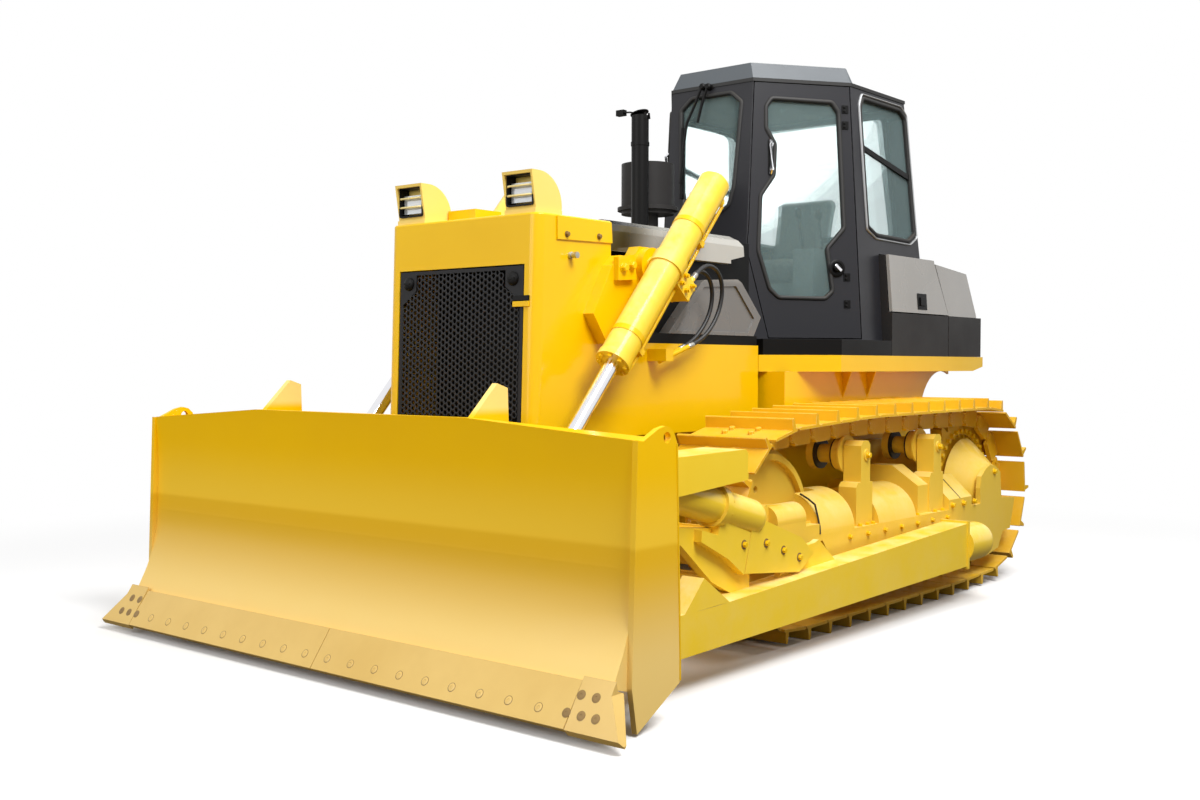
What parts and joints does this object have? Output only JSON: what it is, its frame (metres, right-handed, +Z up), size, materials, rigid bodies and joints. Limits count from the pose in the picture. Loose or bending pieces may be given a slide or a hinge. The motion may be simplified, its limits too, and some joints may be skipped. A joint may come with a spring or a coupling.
{
  "type": "crawler bulldozer",
  "caption": "Crawler bulldozer: tracked earthmoving tractor with a straight front blade on push arms, two lift cylinders and an enclosed cab.",
  "frame": {"origin": "on the ground, at the middle of the machine's overall length and width", "axes": "+X to the machine's left, +Y to its rear, +Z up; the blade points to -Y"},
  "size_m": [3.388, 5.14, 3.1],
  "materials": {
    "yellow_paint": "gloss",
    "cab_paint": "satin",
    "grey_paint": "gloss",
    "black_paint": "satin",
    "window_glass": "clear",
    "chrome_rod": "polished",
    "hose_rubber": "matte",
    "seat_vinyl": "matte",
    "track_steel": "worn"
  },
  "bodies": {
    "chassis": {"cab_glass": "window_glass", "cab_roof": "cab_paint", "cab_shell": "cab_paint", "carrier_rollers": "yellow_paint", "consoles": "black_paint", "cylinder_yokes": "yellow_paint", "deck_box": "black_paint", "drawbar": "yellow_paint", "engine_block": "black_paint", "exhaust": "black_paint", "final_drives": "yellow_paint", "fuel_tank": "grey_paint", "grille": "black_paint", "headlamps": "yellow_paint", "hood": "grey_paint", "hood_core": "black_paint", "hose_lower_left": "hose_rubber", "hose_lower_right": "hose_rubber", "hose_pipes": "yellow_paint", "hose_upper_left": "hose_rubber", "hose_upper_right": "hose_rubber", "idlers": "yellow_paint", "lamp_lenses": "window_glass", "main_frame": "yellow_paint", "nose_guard": "yellow_paint", "platforms": "yellow_paint", "precleaner": "black_paint", "radiator": "black_paint", "seat_back": "seat_vinyl", "seat_base": "black_paint", "seat_cushion": "seat_vinyl", "side_boxes": "black_paint", "sprockets": "yellow_paint", "tank_base": "black_paint", "track_frame_left": "yellow_paint", "track_frame_right": "yellow_paint", "track_left": "track_steel", "track_right": "track_steel", "track_rollers": "yellow_paint"},
    "blade": {"blade": "yellow_paint", "cutting_edges": "yellow_paint", "end_bits": "yellow_paint", "push_arms": "yellow_paint", "tilt_set": "yellow_paint"},
    "lift_barrel_left": {"lift_barrel_left": "yellow_paint"},
    "lift_rod_left": {"lift_rod_left": "chrome_rod"},
    "cab_door_left": {"cab_door_left": "cab_paint", "door_glass_left": "window_glass"},
    "side_lid_left": {"side_lid_left": "grey_paint"},
    "lift_barrel_right": {"lift_barrel_right": "yellow_paint"},
    "lift_rod_right": {"lift_rod_right": "chrome_rod"},
    "cab_door_right": {"cab_door_right": "cab_paint", "door_glass_right": "window_glass"},
    "side_lid_right": {"side_lid_right": "grey_paint"}
  },
  "joints": [
    {"name": "blade_lift", "type": "hinge", "parent": "chassis", "child": "blade", "pos_m": [0, 1.13, 0.335], "axis": [1, 0, 0], "range_deg": [-17.7, 8.6]},
    {"name": "lift_barrel_left_swing", "type": "hinge", "parent": "chassis", "child": "lift_barrel_left", "pos_m": [0.69, -0.971, 1.822], "axis": [1, 0, 0], "range_deg": [-25.2, 12.34], "deforming": ["hose_upper_left", "hose_lower_left"]},
    {"name": "lift_rod_left_slide", "type": "slide", "parent": "lift_barrel_left", "child": "lift_rod_left", "axis": [0, -0.664, -0.7477], "range_m": [-0.7538, 0.3673]},
    {"name": "cab_door_left_hinge", "type": "hinge", "parent": "chassis", "child": "cab_door_left", "pos_m": [0.662, 0.872, 2.996], "axis": [-0.057, -0.0027, 0.9984], "range_deg": [0, 110]},
    {"name": "side_lid_left_hinge", "type": "hinge", "parent": "chassis", "child": "side_lid_left", "pos_m": [0.773, 1.42, 2.008], "axis": [0, -1, 0], "range_deg": [0, 85]},
    {"name": "lift_barrel_right_swing", "type": "hinge", "parent": "chassis", "child": "lift_barrel_right", "pos_m": [-0.69, -0.971, 1.822], "axis": [1, 0, 0], "range_deg": [-25.2, 12.34], "deforming": ["hose_upper_right", "hose_lower_right"]},
    {"name": "lift_rod_right_slide", "type": "slide", "parent": "lift_barrel_right", "child": "lift_rod_right", "axis": [0, -0.664, -0.7477], "range_m": [-0.7538, 0.3673]},
    {"name": "cab_door_right_hinge", "type": "hinge", "parent": "chassis", "child": "cab_door_right", "pos_m": [-0.662, 0.872, 2.996], "axis": [-0.057, 0.0027, -0.9984], "range_deg": [0, 110]},
    {"name": "side_lid_right_hinge", "type": "hinge", "parent": "chassis", "child": "side_lid_right", "pos_m": [-0.773, 1.42, 2.008], "axis": [0, 1, 0], "range_deg": [0, 85]}
  ],
  "couplings": [
    {"joint": "lift_barrel_left_swing", "follows": "blade_lift", "ratio": 1.4122},
    {"joint": "lift_rod_left_slide", "follows": "blade_lift", "m_per_rad": 2.4335},
    {"joint": "lift_barrel_right_swing", "follows": "blade_lift", "ratio": 1.4122},
    {"joint": "lift_rod_right_slide", "follows": "blade_lift", "m_per_rad": 2.4335}
  ]
}
